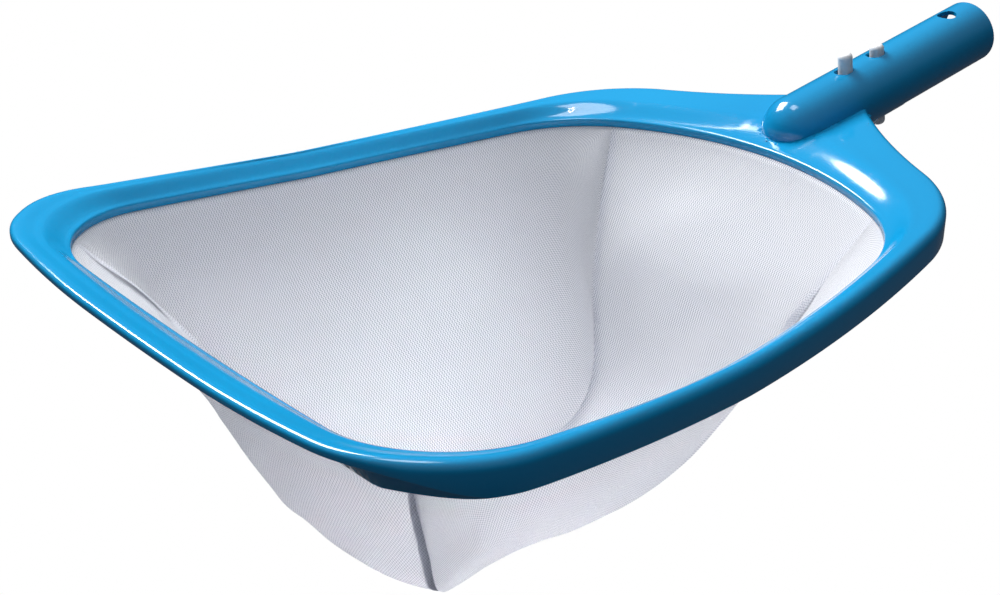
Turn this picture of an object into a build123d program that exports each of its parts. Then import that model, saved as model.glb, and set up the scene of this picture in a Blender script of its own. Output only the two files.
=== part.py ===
"""Leaf skimmer net: a moulded hoop with a clamped mesh bag, a pole socket tube and a twin-button spring clip.

The origin is the centre of the tube's open mouth. +Y runs from the leading edge towards the pole,
+Z is up out of the net, and +X is across it. The hoop lies level and the tube rises from it.
"""

import math
import os

from build123d import *

os.makedirs("parts", exist_ok=True)

# ---- Driving dimensions, in millimetres and degrees ----
tube_r = 14.3  # slides inside a 1-1/4 inch telescopic pole
spigot_r = 14.1  # the lead-in land at the mouth
spigot_length = 60.0
mouth_round = 0.4
tube_bore_r = 12.3
tube_length = 134.8
tube_bore_depth = 98.0
tube_core_r = 6.5
tube_core_depth = 126.0
tube_pitch = 10.0
hang_hole_at = 16.4  # distances along the tube are from its mouth
hang_hole_r = 4.25

rim_reach = 288.5  # from the tube's mouth to the hoop's mid length
rim_drop = 27.1  # from the tube's mouth down to the hoop's top at mid length
rim_depth = 11.7
rim_wall = 2.3
crest_r = 3.5
lip_depth = 8.3  # from the hoop's top down to the lip that the mesh leaves
channel_depth = 6.2
dish_depth = 5.0
dish_width = 9.0
ramp_start_y = -104.0  # the scoop edge thins from here
ramp_end_y = -140.0
ramp_edge = 3.0  # thickness of the leading edge
web_tip_y = 199.0
mold_height = 60.0  # cutting and trimming shapes reach this far above and below the hoop
mold_width = 400.0  # and this far across
surface_start = (-150.0, -160.0)  # where the grid of points for the curved surfaces begins
surface_step = 20.0
ramp_step = 8.0

# Each outline starts along +X on its front edge and turns left: (radius, degrees) in order.
outer_front = (32.5, -142.0)
outer_arcs = [(560, 6), (47, 84), (862, 14.3), (65, 50.7)]
opening_front = (75.0, -122.0)
opening_arcs = [(45, 89), (640, 15.55), (61, 47.75)]
opening_rear = (148.2, 27.7)
opening_rear_y = 149.7
bag_floor_front = (24.0, -56.0)
bag_floor_radii = [12.0, 357.0, 14.0]
bag_floor_rear_y = 64.8

fit_gap = 0.02
cradle_gap = 0.3  # between the cradle and the clamped parts
cradle_wall = 2.5
cradle_end_gap = 2.0
cradle_top = 5.3
screw_pad_r = 4.5
screw_pad_depth = 18.8
handle_screws_at = [104.0, 122.0]
handle_screw_r = 1.6
handle_screw_tip = 8.3
handle_head_r = 3.2
handle_head_round = 0.8

clamp_screw_r = 1.3
clamp_screw_reach = 5.0
clamp_screw_spare = 0.5  # depth left past the screw's tip
clamp_hole_gap = 0.2
clamp_head_gap = 0.25
clamp_head_r = 2.3
head_height = 1.2
boss_r = 2.0
boss_relief = 0.35
boss_out = 6.2
boss_root = 1.5  # how far each boss runs up into the hoop
clamp_screw_headings = [45, 90, 98, 105, 135, 163]

hem_thickness = 0.5
hem_width = 4.5
hem_gap = 0.03
welt_r = 0.9
welt_out = 3.25
clamp_gap = 0.1
clamp_thickness = 1.6
clamp_inner = 1.2
clamp_outer = 8.7
clamp_zone = 10.3  # the hoop keeps its full depth this far outside the opening
clamp_front_y = -128.6

bag_top_z = -5.0
bag_floor_z = -114.0
bag_floor_tilt = 5.0
bag_skin = 0.8
bag_bulge = 0.09
bag_levels = [-0.12, 0.0, 0.28, 0.58, 0.85, 1.0]  # sections, as shares of the depth
seam_at = 87.6  # the seam plane crosses the hoop's centre line height at this x
seam_lead = 0.112
seam_slope = 0.529

lock_pin_at = 66.2
release_pin_at = 87.4
pin_r = 3.15
lock_pin_top = 19.0
release_pin_top = 22.7
pin_tip_r = 2.0
pin_slot_gap = 0.35
pin_slot_run = 2.3
clip_sag = 0.9  # the clip sits this far below the tube's axis
arm_half_width = 4.0
arm_thickness = 2.0
arm_end_at = 94.0
arm_end_height = 9.1
hinge_at = 38.0
hinge_height = 4.6
bow_gap = 0.35
bow_thickness = 1.6
bow_centre_at = 33.0

# ---- Frames ----
pitch = math.radians(tube_pitch)
along = Vector(0, math.cos(pitch), math.sin(pitch))
above = Vector(0, -math.sin(pitch), math.cos(pitch))
mouth = Plane(origin=(0, 0, 0), x_dir=(-1, 0, 0), z_dir=along)
tube_side = Plane(origin=(0, 0, 0), x_dir=along, z_dir=(1, 0, 0))
tube_top = Plane(origin=(0, 0, 0), x_dir=along, z_dir=above)
tube_under = Plane(origin=(0, 0, 0), x_dir=along, z_dir=above * -1)
tube_line = Axis((0, 0, 0), along)
clip_side = Plane(origin=above * -clip_sag, x_dir=along, z_dir=(1, 0, 0))
rim = Plane(origin=(0, -rim_reach, -rim_drop))


# ---- Shared shapes ----
def rim_height(x, y):
    """Height of the hoop's top over its mid length: it rises at both ends, and most at the front corners."""
    u, v = x / 100, y / 100
    return 2.6 * v**2 + 0.25 * v**3 + 2.25 * u**2 * max(-v, 0)


def curved_surface(depth_at, y_step, y_count):
    """A surface under the hoop's curved top, at a depth that may change along Y."""
    xs = [surface_start[0] + surface_step * i for i in range(16)]
    ys = [surface_start[1] + y_step * i for i in range(y_count)]
    rows = [[rim.from_local_coords(Vector(x, y, rim_height(x, y) - depth_at(y))) for y in ys] for x in xs]
    return Face.make_surface_from_array_of_points(rows, tol=0.01, min_deg=3, max_deg=6)


def rim_slab(top, bottom):
    """Everything between two depths under the hoop's curved top."""
    floor = curved_surface(lambda y: bottom, surface_step, 21)
    return extrude(floor, amount=bottom - top, dir=(0, 0, 1))


def ramp_depth(y):
    """Thickness of the hoop where its underside ramps up to the leading edge."""
    t = min(max((y - ramp_end_y) / (ramp_start_y - ramp_end_y), 0), 1)
    return ramp_edge + (rim_depth + 1 - ramp_edge) * t * t * (3 - 2 * t)


def half_outline(front, arcs, end):
    """A closed outline from half its front edge round to its end, mirrored about the centre line."""
    with BuildSketch() as outline:
        with BuildLine():
            edge = Line((0, front[1]), front)
            last = edge
            for radius, turn in arcs:
                last = JernArc(start=last @ 1, tangent=last % 1, radius=radius, arc_size=turn)
            last = TangentArc(last @ 1, end, tangent=last % 1)
            if end[0]:
                last = Line(last @ 1, (0, end[1]))
            Line(last @ 1, edge @ 0)
        make_face()
        mirror(about=Plane.YZ)
    return outline.sketch


opening = half_outline(opening_front, opening_arcs, (0, opening_rear_y))
outer = half_outline(outer_front, outer_arcs, (tube_r, web_tip_y))


def ring(inner_margin, outer_margin):
    """The flat ring between the opening grown by one margin and the outline drawn in by another."""
    inside = offset(opening, amount=inner_margin) if inner_margin else opening
    outside = offset(outer, amount=-outer_margin) if outer_margin else outer
    return outside - inside


def band(near_margin, far_margin):
    """A flat band that follows the opening between two margins outside it, short of the leading edge."""
    return (offset(opening, amount=far_margin) - offset(opening, amount=near_margin)) & behind_edge


def beside_opening(heading, out):
    """The point a margin outside the opening where its outline has turned to a heading."""
    x, y, start = opening_front[0], opening_front[1], 0.0
    for radius, turn in opening_arcs + [opening_rear]:
        a, b = math.radians(start), math.radians(min(start + turn, max(heading, start)))
        x += radius * (math.sin(b) - math.sin(a))
        y += radius * (math.cos(a) - math.cos(b))
        start += turn
    h = math.radians(heading)
    return x + out * math.sin(h), y - out * math.cos(h)


def rim_prism(sketch, slab):
    """A flat shape of the hoop carried up and down to fill a curved slab."""
    return (rim.offset(-mold_height) * extrude(sketch, amount=2 * mold_height)) & slab


def tube_rod(radius, start, end):
    """A plain rod on the tube's axis between two distances from its mouth."""
    rod = Cylinder(radius, end - start, align=(Align.CENTER, Align.CENTER, Align.MIN))
    return mouth.offset(-end) * rod


clamp_depth = lip_depth + hem_thickness + clamp_gap
behind_edge = Pos(0, clamp_front_y) * Rectangle(mold_width, mold_width, align=(Align.CENTER, Align.MIN))
clamp_screw_places = []
for turned in clamp_screw_headings:
    spot = beside_opening(turned, boss_out)
    clamp_screw_places += [spot, (-spot[0], spot[1])]
web_tip_at = (rim_reach - web_tip_y) / math.cos(pitch)
cradle_end_at = tube_length + cradle_end_gap
pin_slot_length = 2 * (pin_r + pin_slot_gap) + pin_slot_run

# ---- Hoop ----
hoop_slab = rim_slab(0, rim_depth)
ramp = extrude(curved_surface(ramp_depth, ramp_step, 8), amount=mold_height, dir=(0, 0, -1))
ramp -= rim.offset(-mold_height) * extrude(offset(opening, amount=clamp_zone), amount=2 * mold_height)
channel = rim_prism(ring(0, rim_wall) & behind_edge, rim_slab(lip_depth, mold_height))
welt_channel = rim_prism(ring(rim_wall, rim_wall) & behind_edge, rim_slab(channel_depth, mold_height))
cradle = tube_rod(tube_r + cradle_wall, web_tip_at, cradle_end_at) & rim_slab(cradle_top, mold_height)
tube_seat = tube_rod(tube_r + fit_gap, spigot_length, tube_length - tube_r)
nose_seat = mouth.offset(tube_r - tube_length) * Sphere(tube_r + fit_gap)

with BuildPart() as rim_frame:
    with BuildSketch(rim.offset(-mold_height)):
        add(ring(0, 0))
    extrude(amount=2 * mold_height)
    add(hoop_slab, mode=Mode.INTERSECT)
    top = rim_frame.faces().filter_by(GeomType.BSPLINE).group_by(Axis.Z)[-1][0]
    fillet(top.outer_wire().edges(), radius=crest_r)
    top = rim_frame.faces().filter_by(GeomType.BSPLINE).filter_by(lambda f: len(f.inner_wires()) == 1)
    top = top.sort_by(Axis.Z)[-1]
    chamfer(top.inner_wires()[0].edges(), length=dish_width, length2=dish_depth, reference=top)
    add(ramp, mode=Mode.SUBTRACT)
    add(channel, mode=Mode.SUBTRACT)
    add(welt_channel, mode=Mode.SUBTRACT)
    for x, y in clamp_screw_places:
        with BuildSketch(rim.offset(rim_height(x, y) - clamp_depth + boss_relief)):
            with Locations((x, y)):
                Circle(boss_r)
        extrude(amount=clamp_depth - channel_depth + boss_root)
        with BuildSketch(rim.offset(rim_height(x, y) - clamp_depth)):
            with Locations((x, y)):
                Circle(clamp_screw_r + fit_gap)
        extrude(amount=clamp_screw_reach + clamp_screw_spare, mode=Mode.SUBTRACT)
    add(cradle)
    for at in handle_screws_at:
        with BuildSketch(tube_under.offset(screw_pad_depth)):
            with Locations((-at, 0)):
                Circle(screw_pad_r)
        extrude(amount=-(screw_pad_depth - tube_r + 1))
    add(tube_seat, mode=Mode.SUBTRACT)
    add(nose_seat, mode=Mode.SUBTRACT)
    for at in handle_screws_at:
        with BuildSketch(tube_under.offset(screw_pad_depth)):
            with Locations((-at, 0)):
                Circle(handle_screw_r + fit_gap)
        extrude(amount=-screw_pad_depth, mode=Mode.SUBTRACT)
    with BuildSketch(tube_under):
        with Locations((-release_pin_at - pin_slot_run / 2, 0)):
            SlotOverall(pin_slot_length + 2 * pin_slot_gap, 2 * (pin_r + 2 * pin_slot_gap))
    extrude(amount=2 * tube_r, mode=Mode.SUBTRACT)

# ---- Handle tube ----
with BuildPart() as handle_tube:
    with BuildSketch(tube_side):
        with BuildLine():
            Line((0, tube_bore_r), (0, spigot_r))
            Line((0, spigot_r), (-spigot_length, spigot_r))
            Line((-spigot_length, spigot_r), (spigot_r - tube_r - spigot_length, tube_r))
            Line((spigot_r - tube_r - spigot_length, tube_r), (tube_r - tube_length, tube_r))
            RadiusArc((tube_r - tube_length, tube_r), (-tube_length, 0), -tube_r)
            Line((-tube_length, 0), (-tube_core_depth, 0))
            Line((-tube_core_depth, 0), (-tube_core_depth, tube_core_r))
            Line((-tube_core_depth, tube_core_r), (-tube_bore_depth, tube_core_r))
            Line((-tube_bore_depth, tube_core_r), (-tube_bore_depth, tube_bore_r))
            Line((-tube_bore_depth, tube_bore_r), (0, tube_bore_r))
        make_face()
    revolve(axis=tube_line)
    mouth_rims = handle_tube.edges().filter_by(GeomType.CIRCLE).group_by(Axis.Y)[-1]
    fillet(mouth_rims, radius=mouth_round)
    with BuildSketch(tube_top):
        with Locations(*[(-at - pin_slot_run / 2, 0) for at in (lock_pin_at, release_pin_at)]):
            SlotOverall(pin_slot_length, 2 * (pin_r + pin_slot_gap))
        with Locations((-hang_hole_at, 0)):
            Circle(hang_hole_r)
    extrude(amount=2 * tube_r, both=True, mode=Mode.SUBTRACT)
    with BuildSketch(tube_under.offset(handle_screw_tip)):
        with Locations(*[(-at, 0) for at in handle_screws_at]):
            Circle(handle_screw_r + fit_gap)
    extrude(amount=tube_r, mode=Mode.SUBTRACT)

with BuildPart() as handle_screws:
    for at in handle_screws_at:
        with BuildSketch(tube_under.offset(handle_screw_tip)):
            with Locations((-at, 0)):
                Circle(handle_screw_r)
        extrude(amount=screw_pad_depth - handle_screw_tip)
        with BuildSketch(tube_under.offset(screw_pad_depth)):
            with Locations((-at, 0)):
                Circle(handle_head_r)
        extrude(amount=head_height)
    outer_rims = handle_screws.edges().filter_by(GeomType.CIRCLE).group_by(Axis.Z)[0]
    fillet(outer_rims, radius=handle_head_round)

# ---- Net clamp ----
clamp_body = rim_prism(band(clamp_inner, clamp_outer), rim_slab(clamp_depth, clamp_depth + clamp_thickness))
cradle_room = tube_rod(tube_r + cradle_wall + cradle_gap, spigot_length, cradle_end_at + cradle_gap)
with BuildPart() as net_clamp_ring:
    add(clamp_body)
    add(cradle_room, mode=Mode.SUBTRACT)
    with BuildSketch(rim.offset(-mold_height)):
        with Locations(*clamp_screw_places):
            Circle(clamp_screw_r + clamp_hole_gap)
    extrude(amount=2 * mold_height, mode=Mode.SUBTRACT)

with BuildPart() as clamp_screws:
    for x, y in clamp_screw_places:
        seat_height = rim_height(x, y) - clamp_depth - clamp_thickness - clamp_head_gap
        with BuildSketch(rim.offset(seat_height)):
            with Locations((x, y)):
                Circle(clamp_screw_r)
        extrude(amount=clamp_thickness + clamp_screw_reach)
        with BuildSketch(rim.offset(seat_height)):
            with Locations((x, y)):
                Circle(clamp_head_r)
        extrude(amount=-head_height)

hem_top = lip_depth + hem_gap
welt_body = rim_prism(band(welt_out - welt_r, welt_out + welt_r), rim_slab(hem_top - 2 * welt_r, hem_top))
with BuildPart() as hem_cord:
    add(welt_body)
    add(cradle_room, mode=Mode.SUBTRACT)


# ---- Mesh bag ----
def bag_solid(inset):
    """The bag's filled shape, drawn in by a margin: sections from the opening down to the narrow floor."""
    sections = []
    for depth in bag_levels:
        u = max(depth, 0.0)
        mix = u - bag_bulge * math.sin(math.pi * u)
        front_x = opening_front[0] + (bag_floor_front[0] - opening_front[0]) * mix
        front_y = opening_front[1] + (bag_floor_front[1] - opening_front[1]) * mix + inset
        rear_y = opening_rear_y + (bag_floor_rear_y - opening_rear_y) * mix - inset
        arcs = []
        for (radius, turn), floor_radius in zip(opening_arcs, bag_floor_radii):
            arcs.append((radius + (floor_radius - radius) * mix - inset, turn))
        height = bag_top_z + (bag_floor_z - bag_top_z) * depth
        if depth == 1.0:
            height += inset
        tilt = math.radians(bag_floor_tilt * u)
        level = Plane(
            origin=rim.from_local_coords(Vector(0, 0, height)),
            x_dir=(1, 0, 0),
            z_dir=(0, math.sin(tilt), math.cos(tilt)),
        )
        sections.append(level * half_outline((front_x, front_y), arcs, (0, rear_y)))
    return loft(sections)


bag_outside = bag_solid(0.0)
bag_inside = bag_solid(bag_skin)
above_hem = rim_slab(-mold_height, hem_top)
hem = rim_prism(band(-bag_skin, hem_width), rim_slab(hem_top, hem_top + hem_thickness)) - cradle_room
bag_shell = (bag_outside - bag_inside - above_hem) + hem
seam_origin = rim.from_local_coords(Vector(seam_at, 0, 0))
right_seam = Plane(origin=seam_origin, x_dir=(seam_slope, 0, 1), z_dir=(1, seam_lead, -seam_slope))
left_seam = Plane(
    origin=(-seam_origin.X, seam_origin.Y, seam_origin.Z),
    x_dir=(-seam_slope, 0, 1),
    z_dir=(-1, seam_lead, -seam_slope),
)

with BuildPart() as mesh_right_panel:
    add(bag_shell)
    split(bisect_by=right_seam, keep=Keep.TOP)

with BuildPart() as mesh_left_panel:
    add(bag_shell)
    split(bisect_by=left_seam, keep=Keep.TOP)

with BuildPart() as mesh_center_panel:
    add(bag_shell)
    split(bisect_by=right_seam, keep=Keep.BOTTOM)
    split(bisect_by=left_seam, keep=Keep.BOTTOM)


# ---- Spring clip ----
def clip_arm(side):
    """One springy arm with its tall release pin and short lock pin, above (1) or below (-1) the clip's middle."""
    rise = math.atan2(arm_end_height - hinge_height, arm_end_at - hinge_at)
    with BuildPart() as arm:
        with BuildSketch(clip_side):
            with BuildLine():
                spine = Line((-hinge_at, side * hinge_height), (-arm_end_at, side * arm_end_height))
            with Locations(spine @ 0.5):
                SlotCenterToCenter(spine.length, arm_thickness, rotation=-side * math.degrees(rise))
        extrude(amount=arm_half_width, both=True)
        for at, top in ((lock_pin_at, lock_pin_top), (release_pin_at, release_pin_top)):
            foot = hinge_height + (at - hinge_at) * math.tan(rise)
            pin_plane = Plane(
                origin=clip_side.from_local_coords(Vector(-at, side * foot, 0)),
                x_dir=along,
                z_dir=above * side,
            )
            with BuildSketch(pin_plane):
                Circle(pin_r)
            extrude(amount=top - foot)
            tip = arm.edges().filter_by(GeomType.CIRCLE)
            tip = tip.sort_by(lambda e: side * (e.center() - clip_side.origin).dot(above))[-1]
            fillet(tip, radius=pin_tip_r)
    return arm.part


clip_upper_arm = clip_arm(1)
clip_lower_arm = clip_arm(-1)

with BuildPart() as clip_spring_bow:
    with BuildSketch(clip_side):
        bow_end = -(hinge_at - arm_thickness / 2 - bow_gap - bow_thickness / 2)
        with BuildLine():
            path_top = Line((bow_end, hinge_height), (-bow_centre_at, hinge_height))
            RadiusArc(path_top @ 1, (-bow_centre_at, -hinge_height), hinge_height)
            Line((-bow_centre_at, -hinge_height), (bow_end, -hinge_height))
            offset(amount=bow_thickness / 2, side=Side.BOTH)
        make_face()
    extrude(amount=arm_half_width, both=True)

# ---- Write every piece ----
pieces = {
    "rim_frame": rim_frame.part,
    "handle_tube": handle_tube.part,
    "handle_screws": handle_screws.part,
    "net_clamp_ring": net_clamp_ring.part,
    "clamp_screws": clamp_screws.part,
    "hem_cord": hem_cord.part,
    "mesh_center_panel": mesh_center_panel.part,
    "mesh_left_panel": mesh_left_panel.part,
    "mesh_right_panel": mesh_right_panel.part,
    "clip_spring_bow": clip_spring_bow.part,
    "clip_upper_arm": clip_upper_arm,
    "clip_lower_arm": clip_lower_arm,
}
for name, piece in pieces.items():
    piece.label = name
    export_step(piece, f"parts/{name}.step")
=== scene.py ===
import math

import bpy
import numpy as np
from mathutils import Matrix, Vector, noise


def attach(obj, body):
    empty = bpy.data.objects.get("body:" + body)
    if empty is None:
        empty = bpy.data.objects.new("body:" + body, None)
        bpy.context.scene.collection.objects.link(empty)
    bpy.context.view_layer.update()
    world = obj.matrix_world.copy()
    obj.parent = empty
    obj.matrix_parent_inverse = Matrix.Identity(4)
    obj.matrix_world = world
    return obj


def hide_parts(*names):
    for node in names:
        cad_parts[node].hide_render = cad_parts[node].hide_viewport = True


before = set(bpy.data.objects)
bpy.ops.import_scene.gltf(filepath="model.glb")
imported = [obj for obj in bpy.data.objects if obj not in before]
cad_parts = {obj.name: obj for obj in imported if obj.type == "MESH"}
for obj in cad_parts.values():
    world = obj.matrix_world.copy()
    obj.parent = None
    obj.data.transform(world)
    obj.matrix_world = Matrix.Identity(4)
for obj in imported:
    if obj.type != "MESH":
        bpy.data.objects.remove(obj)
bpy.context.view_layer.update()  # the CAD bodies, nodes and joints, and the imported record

# The looks of the leaf skimmer net: a smooth moulded hoop, a sewn knitted-mesh bag with its seam allowances,
# stitches and welt cord, and a procedural finish for every piece. Lengths are in metres, angles in degrees.
# x, y and z of the hoop and the bag are measured from the hoop's mid length, as in the CAD.

# ---- Driving dimensions ----
tube_r = 0.0143
tube_pitch = 10
rim_reach = 0.2885
rim_drop = 0.0271
rim_depth = 0.0117
crest_r = 0.0036
crest_proud = 0.0006  # the crest stands this much over the plate
front_lift = 0.0010  # and this much more along the leading edge
dish_depth = 0.005
lip_depth = 0.0083
channel_depth = 0.0062
rim_wall = 0.0023
clamp_front_y = -0.1286
ramp_start_y = -0.104
ramp_end_y = -0.140
ramp_edge = 0.003
web_tip = (tube_r, 0.199)
cradle_wall = 0.0025
cradle_start_at = 0.0909  # distances along the tube are from its mouth
cradle_end_at = 0.1368
nose_at = 0.1348
web_start_at = 0.060
pin_notch_at = 0.0897
pin_notch_r = 0.0042
screw_pads_at = (0.104, 0.122)
screw_pad_r = 0.0045
screw_pad_depth = 0.0188
screw_pad_root = tube_r + 0.0008  # the pads start inside the cradle's wall
screw_hole_r = 0.0017

clamp_depth = 0.0089
clamp_thickness = 0.0016
clamp_inner = 0.0012
clamp_outer = 0.0087
clamp_front_outer = 0.0040
clamp_edge_r = 0.0004
hem_depth = 0.0086  # the cloth's flange lies this far under the hoop's top
hem_width = 0.0044
welt_r = 0.0009
welt_out = 0.00325
welt_depth = 0.0074
seam_front_heading = 40  # where the seams meet the opening
seam_rear_heading = 149
allowance_width = 0.0042
mesh_pitch = 0.00115
swell_depth, pucker_depth = 0.0022, 0.0005  # how far slack cloth moves
swell_pitch, pucker_pitch = 17, 48  # and how many such waves there are in a metre
noise.seed_set(1794981191)  # without a seed, Blender takes the wrinkles from the clock

origin = Vector((0, -rim_reach, -rim_drop))
pitch = math.radians(tube_pitch)
along = Vector((0, math.cos(pitch), math.sin(pitch)))
above = Vector((0, -math.sin(pitch), math.cos(pitch)))
detail = 2  # sheets are this many times finer when it counts


# ---- Outlines of the hoop ----
def arc(radius, turn):
    """One step of an outline: its length and how far it turns to the left."""
    return radius * math.radians(turn), turn


def walk(start, steps, counts, heading=0.0):
    """Points and headings along steps of (length, turn), and the state at the end."""
    x, y = start
    rows = []
    for (length, turn), count in zip(steps, counts):
        for i in range(count):
            part = i / count
            middle = math.radians(heading + turn * part / 2)
            half = math.radians(turn * part / 2)
            run = length * part * (math.sin(half) / half if half else 1)
            rows.append((x + run * math.cos(middle), y + run * math.sin(middle), heading + turn * part))
        middle, half = math.radians(heading + turn / 2), math.radians(turn / 2)
        run = length * (math.sin(half) / half if half else 1)
        x, y, heading = x + run * math.cos(middle), y + run * math.sin(middle), heading + turn
    return np.array(rows), (x, y, heading)


def tangent_step(x, y, heading, end):
    """The one arc that leaves a point at a heading and arrives at another point."""
    dx, dy = end[0] - x, end[1] - y
    turn = 2 * (math.degrees(math.atan2(dy, dx)) - heading)
    half = math.radians(turn / 2)
    return math.hypot(dx, dy) * half / math.sin(half), turn


def mirrored(rows, full_turn=360):
    """Rows of an outline on the other side. A full turn is added where their headings pass 180 degrees."""
    return rows * [-1, 1, -1] + [0, 0, full_turn]


def both_sides(rows):
    """A closed outline from its right half, which runs from the front to the rear."""
    return np.vstack([rows, mirrored(rows[::-1])[1:-1]])


half_counts = [6, 14, 26, 40, 24, 16, 8]  # stations on each step of both outlines, so that they pair up
opening_start = (0, -0.122)
opening_steps = [
    (0.028, 0), (0.047, 0), arc(0.045, 89), arc(0.640, 15.55), arc(0.061, 47.75),
    arc(0.1482, 20.4), arc(0.1482, 7.3),
]
outer_start = (0, -0.142)
outer_steps = [(0.0325, 0), arc(0.560, 6), arc(0.047, 84), arc(0.862, 14.3), arc(0.065, 50.7)]

opening_half, opening_end = walk(opening_start, opening_steps, half_counts)
opening_half = np.vstack([opening_half, [(0, opening_end[1], 180)]])
outer_half, corner = walk(outer_start, outer_steps, half_counts[:5])
web_half, _ = walk(corner[:2], [tangent_step(*corner, web_tip)], half_counts[5:6], corner[2])
tip_half = [(tube_r * (1 - i / half_counts[6]), web_tip[1], 180) for i in range(half_counts[6] + 1)]
outer_half = np.vstack([outer_half, web_half, tip_half])
opening_ring, outer_ring = both_sides(opening_half), both_sides(outer_half)


def rim_height(x, y):
    """Height of the hoop's top over its mid length: it rises at both ends, and most at the front corners."""
    u, v = x / 0.1, y / 0.1
    return 0.001 * (2.6 * v**2 + 0.25 * v**3 + 2.25 * u**2 * np.maximum(-v, 0))


def ease(t):
    """0 to 1 with level ends."""
    t = np.clip(t, 0, 1)
    return t * t * (3 - 2 * t)


def skirt_depth(y):
    """Depth of the hoop's outer wall, which runs out to a thin leading edge."""
    return ramp_edge + (rim_depth - ramp_edge) * float(ease((y - ramp_end_y) / (ramp_start_y - ramp_end_y)))


# ---- Making pieces ----
def piece(name, verts, faces, body="net", smooth=True):
    """A mesh object that rides on a body."""
    mesh = bpy.data.meshes.new(name)
    mesh.from_pydata([tuple(v) for v in verts], [], faces)
    mesh.validate()
    mesh.polygons.foreach_set("use_smooth", [smooth] * len(mesh.polygons))
    made = bpy.data.objects.new(name, mesh)
    bpy.context.scene.collection.objects.link(made)
    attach(made, body)
    return made


def grid_faces(rows, columns, closed_rows=False, closed_columns=False, start=0):
    """Quads between neighbouring points of a grid stored row by row."""
    faces = []
    for i in range(rows if closed_rows else rows - 1):
        for j in range(columns if closed_columns else columns - 1):
            a, b = (i + 1) % rows, (j + 1) % columns
            corners = (i * columns + j, i * columns + b, a * columns + b, a * columns + j)
            faces.append(tuple(start + k for k in corners))
    return faces


def face_outwards(made):
    """Turns every face of a closed piece to point out of it."""
    bpy.context.view_layer.objects.active = made
    bpy.ops.object.mode_set(mode="EDIT")
    bpy.ops.mesh.select_all(action="SELECT")
    bpy.ops.mesh.normals_make_consistent(inside=False)
    bpy.ops.object.mode_set(mode="OBJECT")


# ---- Hoop ----
def rim_crown(width, dish, crest, drop, proud):
    """The top of a hoop section: rounded lip, dish rising to the plate, and the crest's quarter round."""
    lip_round = 0.0006
    rows = [(0, -lip_depth), (0, -dish_depth - 0.0007)]
    rows += [(0.00015, -dish_depth - 0.0003), (lip_round, -dish_depth)]
    for f in np.linspace(0, 1, 12)[1:]:
        rise = 0.55 * float(ease(f)) + 0.45 * f
        rows.append((lip_round + (dish - lip_round) * f, -dish_depth * (1 - rise)))
    for f in np.linspace(0, 1, 6)[1:]:
        rows.append((dish + (width - crest - dish) * f, proud * float(ease(f))))
    for turned in np.radians(np.linspace(0, 90, 9)[1:]):
        rows.append((width - crest * (1 - math.sin(turned)), proud - drop * (1 - math.cos(turned))))
    return rows


def rim_underside(width, foot, keel_foot, channel_end):
    """The bottom of a hoop section: outer wall, keel, and the channel that the hem lies in."""
    edge, keel_wall, chamfer = 0.0004, 0.0016, 0.0001
    keel_end = min(channel_end + keel_wall, width - rim_wall)
    return [
        (width, -foot + 0.0003), (width - chamfer, -foot + chamfer), (width - edge, -foot),
        (max(width - rim_wall, keel_end + chamfer), -foot), (keel_end, -keel_foot),
        (channel_end + 0.0002, -keel_foot), (channel_end, -channel_depth),
        (rim_wall, -channel_depth), (rim_wall, -lip_depth),
    ]


def rim_section(inner, outer, heading):
    """(place, height under the top) round one closed section of the hoop, from the opening outwards."""
    across = outer - inner
    width = float(np.hypot(*across))
    across = across / width
    square = across[0] * math.sin(math.radians(heading)) - across[1] * math.cos(math.radians(heading))
    foot = skirt_depth(outer[1])
    drop = min(crest_r, 0.62 * foot)
    crest = min(drop / max(square, 0.35), width * 0.4)
    narrow, narrow_dish = 0.0115, 0.0075  # the hoop's width at its sides, and the dish's there
    dish = min(max(width - crest, 0.2 * width), narrow_dish + 0.26 * (width - narrow))
    dish = min(dish, width - crest - 0.0004)
    lift_start_y, lift_run = -0.085, 0.045
    proud = crest_proud + front_lift * float(ease((lift_start_y - outer[1]) / lift_run))
    channel_end = width - rim_wall - 0.0005
    if across[1] < -0.05:  # the front run, where the channel stops at the clamp's front
        channel_end = min(channel_end, (inner[1] - clamp_front_y) / -across[1])
    rows = rim_crown(width, dish, crest, drop, proud)
    rows += rim_underside(width, foot - proud, foot + (rim_depth - foot) * 0.5, channel_end)
    return [(inner + across * d, z) for d, z in rows]


def make_rim():
    """The hoop and its web as one closed ring of sections, with the tube's room taken out."""
    verts, columns = [], 0
    for near, far in zip(opening_ring, outer_ring):
        section = rim_section(near[:2], far[:2], far[2])
        columns = len(section)
        for at, z in section:
            verts.append(origin + Vector((at[0], at[1], rim_height(at[0], at[1]) + z)))
    made = piece("hoop_moulding", verts, grid_faces(len(opening_ring), columns, True, True))
    face_outwards(made)
    cut_for_tube(made)
    return made


def cut_for_tube(made):
    """Takes the socket tube's room out of the web, so that nothing of the hoop is left inside the tube."""
    r, sides = tube_r - 0.00015, 72
    nose = [(nose_at - tube_r + r * math.sin(a), r * math.cos(a)) for a in np.radians(range(0, 88, 8))]
    rings = [(web_start_at, r)] + nose
    verts = [at_tube(t, size, 360 * k / sides) for t, size in rings for k in range(sides)]
    last = len(verts) - sides
    faces = grid_faces(len(rings), sides, False, True)
    faces += [tuple(range(sides))[::-1], tuple(range(last, last + sides))]
    room = piece("tube_room", verts, faces)
    face_outwards(room)
    cut = made.modifiers.new("tube_room", "BOOLEAN")
    cut.operation, cut.solver, cut.object = "DIFFERENCE", "EXACT", room
    shaped = bpy.data.meshes.new_from_object(made.evaluated_get(bpy.context.evaluated_depsgraph_get()))
    made.modifiers.clear()
    made.data = shaped
    bpy.data.objects.remove(room)


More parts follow.
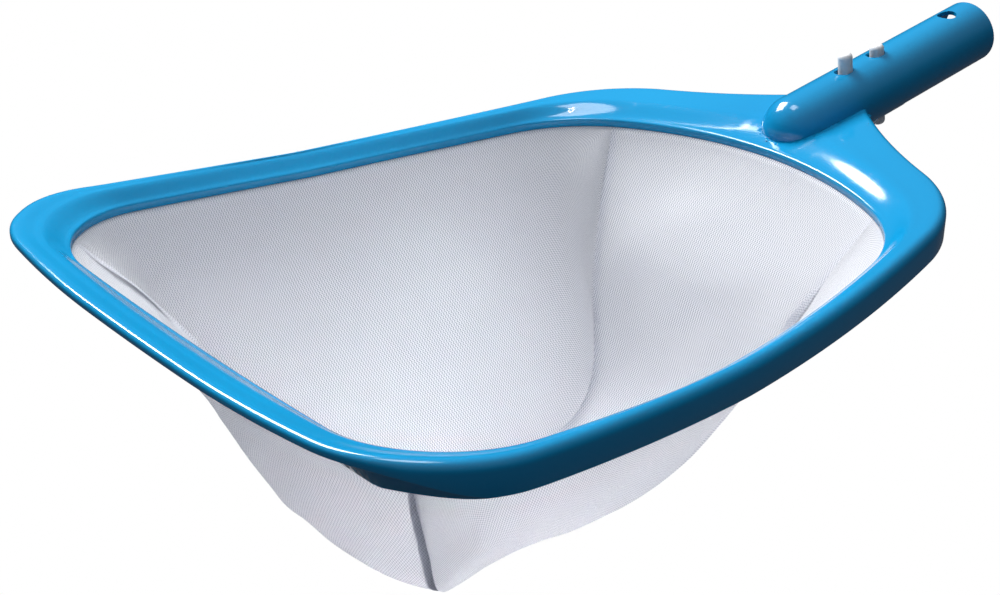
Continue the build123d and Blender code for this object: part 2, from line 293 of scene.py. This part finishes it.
def clamp_section(reach, low):
    """(distance from the opening, depth) round a section of the clamp ring; low is its underside."""
    r = clamp_edge_r
    return [
        (clamp_inner, clamp_depth), (clamp_inner, low - r), (clamp_inner + 0.3 * r, low - 0.3 * r),
        (clamp_inner + r, low), (clamp_inner * 0.5 + reach * 0.5, low), (reach - r, low),
        (reach - 0.3 * r, low - 0.3 * r), (reach, low - r), (reach, clamp_depth),
    ]


def make_clamp():
    """The ring that holds the hem up under the hoop, slimmer along the front."""
    verts, columns = [], 0
    for near in opening_ring:
        h = math.radians(near[2])
        outwards = np.array([math.sin(h), -math.cos(h)])
        front = float(ease((-outwards[1] - 0.55) / 0.3))
        reach = clamp_outer + (clamp_front_outer - clamp_outer) * front
        if outwards[1] < -0.05:
            reach = min(reach, (near[1] - clamp_front_y) / -outwards[1] - 0.0002)
        rows = clamp_section(reach, clamp_depth + clamp_thickness * (1 - 0.45 * front))
        columns = len(rows)
        for out, depth in rows:
            x, y = near[:2] + outwards * out
            verts.append(origin + Vector((x, y, rim_height(x, y) - depth)))
    made = piece("net_clamp_band", verts, grid_faces(len(opening_ring), columns, True, True))
    face_outwards(made)
    return made


def at_tube(distance, out, angle):
    """A point beside the tube's axis: angle 0 is straight below it and turns towards +X."""
    a = math.radians(angle)
    return -along * distance + out * (Vector((1, 0, 0)) * math.sin(a) - above * math.cos(a))


def cradle_outline(start):
    """The trough's wall in section, from its open end round its closed one and back."""
    edge, low, high = 0.0006, tube_r + 0.0001, tube_r + cradle_wall
    bend = nose_at - tube_r
    closed_r = cradle_end_at - bend
    outline = [(start + edge, low), (start, low + edge), (start, high - edge), (start + edge, high)]
    outline += [(at, high) for at in np.linspace(start + 0.003, bend, 8)]
    turned = np.radians(np.linspace(0, 82, 14))
    outline += [(bend + closed_r * math.sin(t), closed_r * math.cos(t)) for t in turned[1:]]
    outline += [(bend + low * math.sin(t), low * math.cos(t)) for t in turned[::-1]]
    return outline + [(at, low) for at in np.linspace(bend, start + 0.003, 8)[1:]]


def make_cradle():
    """The trough under the tube, one moulding with the hoop, notched at its open end for the lower pin."""
    angles = np.linspace(-84, 84, 57)
    verts = []
    for angle in angles:
        aside = tube_r * math.sin(math.radians(angle))
        notch = pin_notch_at + math.sqrt(max(pin_notch_r**2 - aside**2, 0))
        outline = cradle_outline(max(cradle_start_at, notch) if abs(aside) < pin_notch_r else cradle_start_at)
        verts += [at_tube(t, r, angle) for t, r in outline]
    faces = grid_faces(len(angles), len(outline), False, True)
    faces += [tuple(range(len(outline)))[::-1], tuple(range(len(verts) - len(outline), len(verts)))]
    made = piece("tube_cradle", verts, faces)
    face_outwards(made)
    return made


def make_screw_pads():
    """A flared pad with a hole round each handle screw, under the cradle."""
    sides, edge = 32, 0.0006
    profile = [
        (screw_pad_root, screw_pad_r + 0.0012), (tube_r + 0.0030, screw_pad_r + 0.0002),
        (screw_pad_depth - edge, screw_pad_r), (screw_pad_depth, screw_pad_r - edge),
        (screw_pad_depth, screw_hole_r), (screw_pad_root, screw_hole_r),
    ]
    verts, faces = [], []
    for at in screw_pads_at:
        faces += grid_faces(len(profile), sides, True, True, len(verts))
        for depth, r in profile:
            for a in (math.tau * k / sides for k in range(sides)):
                aside = Vector((r * math.sin(a), 0, 0))
                verts.append(-along * (at + r * math.cos(a)) - above * depth + aside)
    made = piece("cradle_screw_pads", verts, faces)
    face_outwards(made)
    return made


# ---- Lines of the bag ----
def distances(line):
    """How far along a line of points each of them is."""
    return np.r_[0, np.cumsum(np.linalg.norm(np.diff(line, axis=0), axis=1))]


def spaced(points, count):
    """Evenly spaced points along a line of points."""
    points = np.asarray(points, float)
    steps = distances(points)
    wanted = np.linspace(0, steps[-1], count)
    return np.stack([np.interp(wanted, steps, points[:, k]) for k in range(points.shape[1])], 1)


def between(p, q, t, start, end):
    """The point at t of a line that is at p at start and at q at end."""
    return (end - t) / (end - start) * p + (t - start) / (end - start) * q


def smooth_line(points, per_span=24):
    """A smooth curve through given points (centripetal Catmull-Rom)."""
    points = [np.array(p, float) for p in points]
    points = [2 * points[0] - points[1]] + points + [2 * points[-1] - points[-2]]
    line = []
    for span in zip(points, points[1:], points[2:], points[3:]):
        t = [0]
        for p, q in zip(span, span[1:]):
            t.append(t[-1] + math.sqrt(np.linalg.norm(q - p)))
        for s in np.linspace(t[1], t[2], per_span, endpoint=False):
            row = span
            for reach in (1, 2):
                row = [between(p, q, s, t[i], t[i + reach]) for i, (p, q) in enumerate(zip(row, row[1:]))]
            line.append(between(row[0], row[1], s, t[1], t[2]))
    return np.array(line + [points[-2]])


def top_edge(rows, inset=0.0004, depth=hem_depth):
    """Where the cloth leaves the lip, along rows of the opening's outline."""
    h = np.radians(rows[:, 2])
    x, y = rows[:, 0] - inset * np.sin(h), rows[:, 1] + inset * np.cos(h)
    return np.stack([x, y, rim_height(x, y) - depth], 1)


def heading_index(heading):
    """The point of the opening's right half that is nearest to a heading."""
    return int(np.argmin(np.abs(fine_half[:, 2] - heading)))


fine_half, _ = walk(opening_start, opening_steps, [12, 20, 90, 200, 90, 40, 20])
fine_half = np.vstack([fine_half, [(0, opening_end[1], 180)]])
seam_front, seam_rear = heading_index(seam_front_heading), heading_index(seam_rear_heading)
along_seam, down_side, across = 76 * detail, 30 * detail, 36 * detail  # points of the cloth's grids

mirror = np.array([-1, 1, 1])
front_end, rear_end = (top_edge(fine_half[i:i + 1])[0] for i in (seam_front, seam_rear))
right_seam = smooth_line([
    rear_end, (0.0550, 0.108, -0.049), (0.0360, 0.086, -0.100),
    (0.0295, 0.064, -0.1140), (0.0290, 0.030, -0.1155), (0.0305, 0.000, -0.1140), (0.0345, -0.032, -0.1105),
    (0.0405, -0.056, -0.1050), (0.0500, -0.067, -0.080), (0.0605, -0.077, -0.060), (0.0710, -0.086, -0.040),
    (0.0850, -0.097, -0.020), front_end,
])
seam = spaced(right_seam, along_seam)
seam_down = distances(seam)
seam_drop = np.minimum(seam_down, seam_down[-1] - seam_down)  # from the nearer of the seam's two ends

# Rows of the opening's outline along the top of a side panel, and of the centre strip's rear and front.
side_rows = spaced(fine_half[seam_front:seam_rear + 1][::-1], along_seam)
rear_rows = spaced(np.vstack([fine_half[seam_rear:], mirrored(fine_half[seam_rear:-1])[::-1]]), across)
front_rows = np.vstack([mirrored(fine_half[1:seam_front + 1], 0)[::-1], fine_half[:seam_front + 1]])
front_rows = spaced(front_rows, across)[::-1]

# How far the front wall bellies out of the straight line between its seams, down the seam from the lip.
belly_at = (0, 0.027, 0.060, 0.105, 0.130, 0.165, 0.200)
belly_out = (0.0105, 0.0200, 0.0225, 0.0205, 0.0100, 0.0030, 0)
rear_belly, foot_sag = 0.0015, 0.0035


# ---- Cloth ----
def wrinkled(p, drop):
    """Shifts a point of the cloth as slack fabric would: broad swells and small puckers, none at the lip."""
    hold = float(ease(drop / 0.030))
    if not hold:
        return p
    at = Vector(p)
    broad = noise.noise_vector(at * swell_pitch + Vector((3.1, 0.4, 7.7)))
    small = noise.noise_vector(at * pucker_pitch + Vector((0.2, 5.9, 1.3)))
    return p + hold * (np.array(broad) * swell_depth + np.array(small) * pucker_depth)


def hump(value, start, end, run):
    """1 between start and end and 0 outside them, with a soft step as long as run at each."""
    return ease((value - start) / run) * ease((end - value) / run)


def unit(rows):
    """Each row scaled to a length of one."""
    return rows / (np.linalg.norm(rows, axis=1, keepdims=True) + 1e-9)


def cloth_measure(grid):
    """How far each point of a grid lies along and across the cloth, in metres."""
    down = np.zeros(grid.shape[:2])
    down[1:] = np.cumsum(np.linalg.norm(np.diff(grid, axis=0), axis=2), axis=0)
    middle = grid.shape[1] // 2
    down = down[:, middle:middle + 1] * np.ones((1, grid.shape[1]))
    over = np.zeros(grid.shape[:2])
    over[:, 1:] = np.cumsum(np.linalg.norm(np.diff(grid, axis=1), axis=2), axis=1)
    over -= over[:, middle:middle + 1]
    return np.stack([over, down], 2)


def cloth(name, grid):
    """A sheet from a grid of points, with its own cloth measures as a UV map."""
    rows, columns = grid.shape[:2]
    stretch = cloth_measure(grid)
    made = piece(name, [origin + Vector(p) for p in grid.reshape(-1, 3)], grid_faces(rows, columns))
    uv = made.data.uv_layers.new(name="cloth")
    for loop in made.data.loops:
        i, j = divmod(loop.vertex_index, columns)
        uv.data[loop.index].uv = tuple(stretch[i, j])
    return made


def hem_rows(rows):
    """The flange of cloth that the clamp ring holds, from its raw edge to the lip."""
    places = ((hem_width, hem_depth), (hem_width / 2, hem_depth), (0.0006, hem_depth - 0.00005))
    return [top_edge(rows, -out, depth) for out, depth in places]


def fin(points, outwards, sideways):
    """Rows of a seam allowance that stands out of the bag, with a raw edge that wavers."""
    seed, wave_pitch, edge_pitch = 3.7, 110, 60
    length = distances(points)
    fade = hump(length, 0, length[-1], 0.012)
    made = []
    for step in (0.25, 0.6, 1.0):
        row = []
        for p, out, side, at, soft in zip(points, outwards, sideways, length, fade):
            frill = noise.noise(Vector((at * wave_pitch, seed, 0)))
            waver = noise.noise(Vector((at * edge_pitch, seed, 4)))
            reach = allowance_width * (1 + 0.22 * waver) * (0.35 + 0.65 * soft)
            row.append(p + out * reach * step + side * (0.0002 + 0.0010 * frill * step**2 * soft))
        made.append(np.array(row))
    return made


def centre_belly(v, from_front, near_top):
    """How far the middle of the centre strip stands out of the line between the seams."""
    shift = np.zeros(3)
    if v > 0.5:
        shift[1] -= np.interp(from_front, belly_at, belly_out) - belly_out[0] * near_top
    shift[1] += rear_belly * hump(v, 0, 0.36, 0.14)
    shift[2] -= foot_sag * hump(v, 0.30, 0.72, 0.1)
    return shift


def centre_grid(soft_right, soft_left):
    """The centre strip: a patch between both seams and the rear and front of the opening."""
    rear_top, front_top = top_edge(rear_rows), top_edge(front_rows)
    grid = np.zeros((along_seam, across, 3))
    for i, v in enumerate(seam_down / seam_down[-1]):
        near_top = float(1 - ease(seam_drop[i] / 0.055))
        belly = centre_belly(v, seam_down[-1] - seam_down[i], near_top)
        for j, u in enumerate(np.linspace(0, 1, across)):
            over = (1 - u) + u * mirror
            ends = (1 - v) * rear_top[j] + v * front_top[j]
            corners = ((1 - v) * seam[0] + v * seam[-1]) * over
            p = seam[i] * over + (ends - corners) * near_top + belly * 4 * u * (1 - u)
            grid[i, j] = wrinkled(p, seam_drop[i])
        grid[i, 0], grid[i, -1] = soft_right[i], soft_left[i]
    return grid


def side_wall(soft, lip, facing):
    """A side panel, ruled from the lip to the seam, slack at its front and drawn in at its rear."""
    wall = np.zeros((down_side, along_seam, 3))
    for j in range(along_seam):
        fall = soft[j] - lip[j]
        span = float(np.linalg.norm(fall))
        normal = np.cross(lip[min(j + 1, along_seam - 1)] - lip[max(j - 1, 0)], fall)
        normal = normal / (np.linalg.norm(normal) + 1e-9)
        if normal[0] * facing < 0:
            normal = -normal
        slack = -0.03 + 0.085 * float(ease((0.35 - lip[j][1] / 0.2) / 0.6))
        for i, t in enumerate(np.linspace(0, 1, down_side)):
            p = lip[j] + fall * t + normal * slack * span * math.sin(math.pi * t)
            wall[i, j] = wrinkled(p, t * span)
        wall[-1, j] = soft[j]
    return wall


def seam_directions(soft, side_points, centre_points):
    """Along a seam, the ways that its allowances stand out and that one layer lies from the other."""
    to_side, to_centre = unit(side_points - soft), unit(centre_points - soft)
    out = unit(to_centre * 0.90 + unit(-(to_side + to_centre)) * 0.42)
    for _ in range(3):
        out[1:-1] = (out[:-2] + 2 * out[1:-1] + out[2:]) / 4
    out[0], out[-1] = out[2], out[-3]
    return unit(out), unit(to_side - to_centre)


def make_bag():
    """The centre strip, both side panels and the strip's own allowances, and each seam's directions."""
    soft_right = np.array([wrinkled(p, drop) for p, drop in zip(seam, seam_drop)])
    soft_left = np.array([wrinkled(p * mirror, drop) for p, drop in zip(seam, seam_drop)])
    grid = centre_grid(soft_right, soft_left)
    panels = {"mesh_center_strip": np.array(hem_rows(rear_rows) + list(grid) + hem_rows(front_rows)[::-1])}
    lip = top_edge(side_rows)
    sides = {
        "right": (soft_right, lip, side_rows, grid[:, 1], 1),
        "left": (soft_left, lip * mirror, mirrored(side_rows), grid[:, -2], -1),
    }
    allowances, seams = {}, []
    for side, (soft, top, rows, beside, facing) in sides.items():
        wall = side_wall(soft, top, facing)
        out, aside = seam_directions(soft, wall[-3], beside)
        panels[f"mesh_{side}_side"] = np.array(hem_rows(rows) + list(wall) + fin(soft, out, aside))
        allowances[f"seam_allowance_{side}"] = np.array([soft] + fin(soft, out, -aside))
        seams.append((soft, out, aside))
    return {name: cloth(name, points) for name, points in (panels | allowances).items()}, seams


# ---- Thread and cord ----
stitch_rings = ((0, 0.35), (0.2, 1), (0.5, 1.15), (0.8, 1), (1, 0.35))  # place along a stitch, and thickness
stitch_sides, stitch_r = 6, 0.00017


def stitch(begin, end, sideways, outwards, face):
    """The points of a short bulged length of thread on one face of the allowance."""
    verts = []
    for t, size in stitch_rings:
        lift = 0.00032 + 0.00012 * math.sin(math.pi * t)
        middle = begin + (end - begin) * t + sideways * face * lift
        for turned in (math.tau * k / stitch_sides for k in range(stitch_sides)):
            round_it = sideways * math.cos(turned) + outwards * math.sin(turned)
            verts.append(origin + Vector(middle + stitch_r * size * round_it))
    return verts


def make_stitches(seams):
    """Short thread stitches along both seams, on both faces of the allowances."""
    verts, faces = [], []
    stitch_length, stitch_pitch, beside_seam, end_gap = 0.0021, 0.0032, 0.0011, 0.006
    for soft, out, aside in seams:
        line = soft + out * beside_seam
        length = distances(line)
        at = end_gap
        while at < length[-1] - end_gap:
            places = ((at, line), (at + stitch_length, line), (at, aside), (at, out))
            ends = [np.array([np.interp(s, length, rows[:, k]) for k in range(3)]) for s, rows in places]
            for face in (1, -1):
                start = len(verts)
                verts += stitch(*ends, face)
                faces += grid_faces(len(stitch_rings), stitch_sides, False, True, start)
                faces.append(tuple(range(start, start + stitch_sides))[::-1])
                faces.append(tuple(range(len(verts) - stitch_sides, len(verts))))
            at += stitch_pitch
    return piece("seam_stitches", verts, faces)


def make_welt():
    """The three-strand cord inside the hem, all round the opening behind the leading edge."""
    strands, strand_turns, points, sides = 3, 73, 1100, 12
    ring = both_sides(fine_half)
    line = top_edge(ring, -welt_out, welt_depth)
    line = spaced(np.vstack([line, line[:1]]), points)[:-1]
    headings = np.arctan2(np.roll(line[:, 1], -1) - line[:, 1], np.roll(line[:, 0], -1) - line[:, 0])
    verts = []
    for i, (p, heading) in enumerate(zip(line, headings)):
        side = np.array([math.sin(heading), -math.cos(heading), 0])
        for a in (math.tau * k / sides for k in range(sides)):
            twist = math.tau * i * strand_turns / len(line)
            r = welt_r * (0.86 + 0.14 * math.cos(strands * (a + twist)))
            verts.append(origin + Vector(p + r * (side * math.cos(a) + np.array([0, 0, 1]) * math.sin(a))))
    return piece("welt_cord", verts, grid_faces(len(line), sides, True, True))


# ---- Materials ----
def material(name):
    """A new material, its node tree and its surface shader."""
    made = bpy.data.materials.new(name)
    made.use_nodes = True
    return made, made.node_tree, made.node_tree.nodes["Principled BSDF"]


def feed(tree, target, inputs):
    """Fills or links inputs of a node."""
    for key, value in inputs.items():
        if isinstance(value, bpy.types.NodeSocket):
            tree.links.new(value, target.inputs[key])
        else:
            target.inputs[key].default_value = value


def node(tree, kind, inputs=None, **settings):
    """Adds a node, sets its properties and feeds its inputs."""
    made = tree.nodes.new(kind)
    for key, value in settings.items():
        setattr(made, key, value)
    feed(tree, made, inputs or {})
    return made


def maths(tree, operation, *values):
    """The result of one sum."""
    return node(tree, "ShaderNodeMath", dict(enumerate(values)), operation=operation).outputs[0]


def wave(tree, turns):
    """A sine of a number of turns, from 0 to 1."""
    sine = maths(tree, "SINE", maths(tree, "MULTIPLY", turns, math.tau))
    return maths(tree, "MULTIPLY_ADD", sine, 0.5, 0.5)


def position(tree):
    """The place on the piece."""
    return tree.nodes.new("ShaderNodeTexCoord").outputs["Object"]


def grain(tree, scale, detail_levels, roughness=0.5):
    """Noise of the place on the piece."""
    inputs = {"Vector": position(tree), "Scale": scale, "Detail": detail_levels, "Roughness": roughness}
    return node(tree, "ShaderNodeTexNoise", inputs).outputs["Fac"]


def ranged(tree, value, low, high, start=0.0, end=1.0, **settings):
    """A number that runs from low to high as value runs from start to end."""
    inputs = {"Value": value, "From Min": start, "From Max": end, "To Min": low, "To Max": high}
    return node(tree, "ShaderNodeMapRange", inputs, **settings).outputs[0]


def ramp_between(tree, amount, low, high, start=0.0, end=1.0):
    """A colour that runs from low to high as amount runs from start to end."""
    made = node(tree, "ShaderNodeValToRGB", {0: amount})
    for stop, place, colour in zip(made.color_ramp.elements, (start, end), (low, high)):
        stop.position, stop.color = place, (*colour, 1)
    return made.outputs["Color"]


def bumped(tree, height, strength, distance, under=None):
    """A surface normal with fine relief, laid over another one if given."""
    inputs = {"Height": height, "Strength": strength, "Distance": distance}
    if under is not None:
        inputs["Normal"] = under
    return node(tree, "ShaderNodeBump", inputs).outputs[0]


def plastic(name, base, deep, roughness, ripple):
    """Glossy moulded plastic: slight tone variation, a faint ripple, and fine handling marks in the gloss."""
    made, tree, shader = material(name)
    scuffs = grain(tree, 140, 5, 0.7)
    swell = bumped(tree, grain(tree, 26, 2), ripple, 0.0006)
    feed(tree, shader, {
        "Base Color": ramp_between(tree, grain(tree, 9, 3), deep, base, 0.25, 0.75),
        "Roughness": ranged(tree, scuffs, roughness, roughness + 0.16, 0.55, 0.8),
        "Normal": bumped(tree, scuffs, 0.03, 0.0002, swell),
        "Specular IOR Level": 0.5,
        "IOR": 1.49,
        "Coat Weight": 0.08,
        "Coat Roughness": 0.04,
    })
    return made


def knit_holes(tree):
    """How open the knit is at a place on the cloth: zigzag wales with a hole at every turn."""
    uv = node(tree, "ShaderNodeUVMap", uv_map="cloth").outputs["UV"]
    split = node(tree, "ShaderNodeSeparateXYZ", {0: uv})
    across_knit = maths(tree, "DIVIDE", split.outputs["X"], mesh_pitch)
    down_knit = maths(tree, "DIVIDE", split.outputs["Y"], mesh_pitch * 1.25)
    zigzag = maths(tree, "PINGPONG", down_knit, 0.5)
    wale = maths(tree, "ADD", across_knit, maths(tree, "MULTIPLY", zigzag, 0.9))
    wale = maths(tree, "ADD", wale, maths(tree, "MULTIPLY", grain(tree, 90, 2), 0.5))
    turns = wave(tree, maths(tree, "MULTIPLY", down_knit, 2))
    hole = maths(tree, "MULTIPLY", wave(tree, wale), maths(tree, "MULTIPLY_ADD", turns, 0.45, 0.55))
    return ranged(tree, hole, 0.0, 1.0, 0.35, 0.8, interpolation_type="SMOOTHSTEP")


def knitted_mesh(name, yarn, shaded_gap, openness):
    """Fine warp-knit mesh, lit through from behind and partly clear in its holes, whose opaque rest is
    painted a darker grey as shade between the yarns.
    """
    made, tree, shader = material(name)
    hole = knit_holes(tree)
    # the holes take the darker second colour: painted shade between the yarns, not a colour of the yarn
    colour = ramp_between(tree, hole, yarn, shaded_gap)
    relief = bumped(tree, maths(tree, "SUBTRACT", 1.0, hole), 0.5, 0.0003)
    feed(tree, shader, {
        "Base Color": colour, "Roughness": 0.62, "Sheen Weight": 0.25, "Specular IOR Level": 0.25,
        "Normal": relief,
    })
    through = node(tree, "ShaderNodeBsdfTranslucent", {"Color": colour, "Normal": relief})
    clear = node(tree, "ShaderNodeBsdfTransparent")
    lit = node(tree, "ShaderNodeMixShader", {0: 0.33, 1: shader.outputs[0], 2: through.outputs[0]})
    open_share = maths(tree, "MULTIPLY", hole, openness)
    seen = node(tree, "ShaderNodeMixShader", {0: open_share, 1: lit.outputs[0], 2: clear.outputs[0]})
    feed(tree, tree.nodes["Material Output"], {"Surface": seen.outputs[0]})
    return made


def nylon():
    """White moulded nylon, which lets a little light in."""
    made, tree, shader = material("white_nylon")
    tone, marks = grain(tree, 60, 3), grain(tree, 400, 4)
    feed(tree, shader, {
        "Base Color": ramp_between(tree, tone, (0.88, 0.89, 0.90), (0.96, 0.96, 0.96), 0.3, 0.7),
        "Roughness": ranged(tree, marks, 0.24, 0.42),
        "Normal": bumped(tree, marks, 0.12, 0.0001),
        "Subsurface Weight": 0.7,
        "Subsurface Radius": (0.004, 0.004, 0.004),
    })
    return made


def steel():
    """Stainless steel with a fine grain."""
    made, tree, shader = material("stainless_steel")
    tone = grain(tree, 700, 4)
    feed(tree, shader, {
        "Base Color": ramp_between(tree, tone, (0.42, 0.43, 0.45), (0.66, 0.67, 0.69), 0.3, 0.7),
        "Roughness": ranged(tree, tone, 0.22, 0.4),
        "Metallic": 1.0,
    })
    return made


def thread():
    """White sewing thread and cord, with a fine ply, painted darker in the ply's grooves as shade."""
    made, tree, shader = material("sewing_thread")
    inputs = {"Vector": position(tree), "Scale": 900, "Distortion": 2}
    ply_and_shade = node(tree, "ShaderNodeTexWave", inputs).outputs["Fac"]
    feed(tree, shader, {
        # the ply's grooves are painted darker: painted shade, the thread itself is white throughout
        "Base Color": ramp_between(tree, ply_and_shade, (0.62, 0.64, 0.70), (0.88, 0.89, 0.92)),
        "Roughness": 0.7,
        "Normal": bumped(tree, ply_and_shade, 0.4, 0.0001),
    })
    return made


def paint(target, finish):
    """Gives a piece one material."""
    slots = target.data.materials
    slots.clear()
    slots.append(finish)


# ---- Putting it together ----
hoop_blue = plastic("hoop_blue_plastic", (0.004, 0.315, 0.62), (0.003, 0.275, 0.56), 0.10, 0.10)
tube_blue = plastic("tube_blue_plastic", (0.004, 0.295, 0.58), (0.003, 0.245, 0.51), 0.13, 0.12)
clamp_blue = plastic("clamp_blue_plastic", (0.004, 0.22, 0.45), (0.003, 0.18, 0.38), 0.38, 0.2)
# the mesh's second colour is painted shade in the knit's holes
mesh_white = knitted_mesh("knitted_mesh", (0.96, 0.965, 1.0), (0.66, 0.68, 0.78), 0.34)
# the doubled allowance is less open than the bag, and it is painted greyer in yarn and holes: painted shade
# between its two layers
allowance_shaded_grey = knitted_mesh("knitted_mesh_doubled_shaded", (0.80, 0.81, 0.86), (0.62, 0.63, 0.70), 0.15)
thread_white, clip_white, screw_steel = thread(), nylon(), steel()

rim = make_rim()
cradle = make_cradle()
pads = make_screw_pads()
for part in (rim, cradle, pads):
    paint(part, hoop_blue)
    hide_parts("rim_frame")

clamp = make_clamp()
paint(clamp, clamp_blue)
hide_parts("net_clamp_ring")

bag, seams = make_bag()
replaced = {
    "mesh_center_strip": "mesh_center_panel",
    "mesh_left_side": "mesh_left_panel",
    "mesh_right_side": "mesh_right_panel",
    "seam_allowance_right": "mesh_center_panel",
    "seam_allowance_left": "mesh_center_panel",
}
for name, part in bag.items():
    paint(part, allowance_shaded_grey if name.startswith("seam") else mesh_white)
    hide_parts(replaced[name])
stitches = make_stitches(seams)
welt = make_welt()
for part in (stitches, welt):
    paint(part, thread_white)
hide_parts("hem_cord")

finishes = {
    "handle_tube": tube_blue, "clip_spring_bow": clip_white, "clip_upper_arm": clip_white,
    "clip_lower_arm": clip_white, "handle_screws": screw_steel, "clamp_screws": screw_steel,
}
for name, finish in finishes.items():
    paint(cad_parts[name], finish)

# ---- Camera, fitted to the hoop and the tube in the photo ----
eye = Vector((0.41205, -0.62737, 0.19694))
ahead = Vector((-0.6962, 0.5826, -0.4193)).normalized()
roll = Matrix.Rotation(math.radians(0.14), 3, ahead)
rightwards = roll @ ahead.cross(Vector((0, 0, 1))).normalized()
camera = bpy.data.objects.new("camera", bpy.data.cameras.new("camera"))
camera.data.lens = 57.25
camera.data.clip_end = 100
axes = Matrix((rightwards, rightwards.cross(ahead), -ahead)).transposed().to_4x4()
axes.translation = eye
camera.matrix_world = axes
bpy.context.scene.collection.objects.link(camera)
bpy.context.scene.camera = camera


# ---- Light and floor ----
def lamp(name, at, aim, size, power):
    """A white area lamp of (width, height) that points at a place."""
    light = bpy.data.lights.new(name, "AREA")
    light.shape, light.size, light.size_y = "RECTANGLE", size[0], size[1]
    light.energy = power
    made = bpy.data.objects.new(name, light)
    made.location = at
    made.rotation_euler = (Vector(aim) - Vector(at)).to_track_quat("-Z", "Y").to_euler()
    bpy.context.scene.collection.objects.link(made)
    return made


def white_to_camera(tree, kind, shaded):
    """White where the camera looks straight at it, and the shader given for all other light."""
    glow = node(tree, kind, {"Color": (1, 1, 1, 1), "Strength": 1.0})
    seen = node(tree, "ShaderNodeLightPath").outputs["Is Camera Ray"]
    mix = node(tree, "ShaderNodeMixShader", {0: seen, 1: shaded.outputs[0], 2: glow.outputs[0]})
    return mix.outputs[0]


def make_world():
    """A soft sky, brighter overhead, behind a white backdrop."""
    world = bpy.data.worlds.new("studio")
    bpy.context.scene.world = world
    world.use_nodes = True
    tree = world.node_tree
    sky = tree.nodes["Background"]
    place = tree.nodes.new("ShaderNodeTexCoord").outputs["Generated"]
    up = node(tree, "ShaderNodeSeparateXYZ", {0: place}).outputs["Z"]
    height = maths(tree, "MULTIPLY_ADD", up, 0.5, 0.5)
    colour = ramp_between(tree, height, (0.08, 0.09, 0.11), (0.8, 0.85, 0.95), 0.58, 0.98)
    feed(tree, sky, {"Color": colour, "Strength": 0.55})
    backdrop = white_to_camera(tree, "ShaderNodeBackground", sky)
    feed(tree, tree.nodes["World Output"], {"Surface": backdrop})


def make_floor(z, reach):
    """A wide floor far below the net, white to the camera and dark to everything else."""
    corners = [(x * reach, y * reach, z) for x, y in ((-1, -1), (1, -1), (1, 1), (-1, 1))]
    floor = piece("floor", corners, [(0, 1, 2, 3)])
    floor.parent = None
    finish, tree, shader = material("pale_floor")
    feed(tree, shader, {"Base Color": (0.06, 0.065, 0.075, 1), "Roughness": 0.9})
    surface = white_to_camera(tree, "ShaderNodeEmission", shader)
    feed(tree, tree.nodes["Material Output"], {"Surface": surface})
    paint(floor, finish)


bag_middle = (0, -0.29, -0.08)
lamp("key_left", (-1.10, -0.20, 1.05), bag_middle, (0.75, 0.6), 36)
lamp("overhead", (-0.25, -0.25, 1.6), bag_middle, (0.5, 0.5), 6)
snoot = lamp("bag_snoot", (0.02, -0.30, 1.5), (0.0, -0.30, 0.0), (0.17, 0.19), 0.09)
snoot.data.spread = math.radians(5)
make_world()
make_floor(-0.55, 30)
bpy.context.scene.view_settings.view_transform = "Standard"
